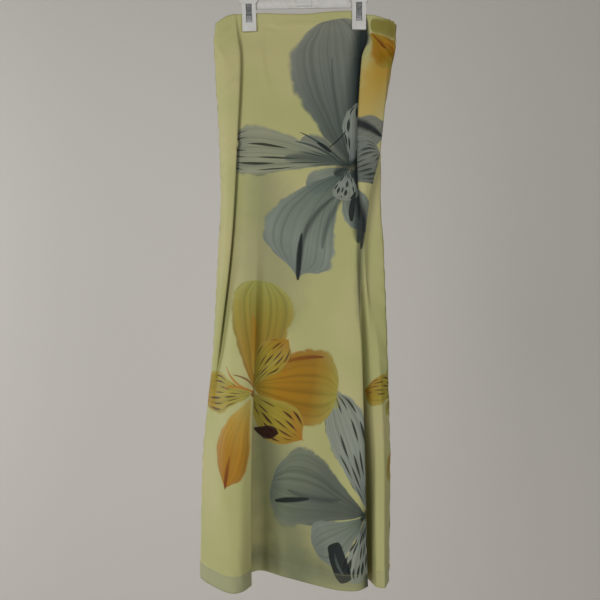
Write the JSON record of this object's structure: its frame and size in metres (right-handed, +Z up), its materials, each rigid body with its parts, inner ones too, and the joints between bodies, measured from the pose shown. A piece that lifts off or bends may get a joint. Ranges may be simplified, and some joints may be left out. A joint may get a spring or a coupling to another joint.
{
  "type": "maxi skirt on a clip hanger",
  "caption": "Long soft skirt with deep hanging folds and a large printed lily pattern, held at the waist by the clips of a small white hanger.",
  "frame": {"origin": "inner top of the hook, where it rests on a rail", "axes": "+Z up, +X to the viewer's right across the skirt's front, +Y away from the viewer; the skirt's front faces -Y"},
  "size_m": [0.3429, 0.1601, 1.0994],
  "materials": {
    "printed_cloth": "soft sheen, printed",
    "white_plastic": "semi-gloss",
    "grey_steel": "satin"
  },
  "bodies": {
    "root": {"skirt_front": "printed_cloth", "skirt_back": "printed_cloth", "hanger_frame": "white_plastic", "clip_left_front_jaw": "white_plastic", "clip_left_back_jaw": "white_plastic", "clip_right_front_jaw": "white_plastic", "clip_right_back_jaw": "white_plastic", "clip_left_spring": "grey_steel", "clip_right_spring": "grey_steel"}
  },
  "joints": []
}
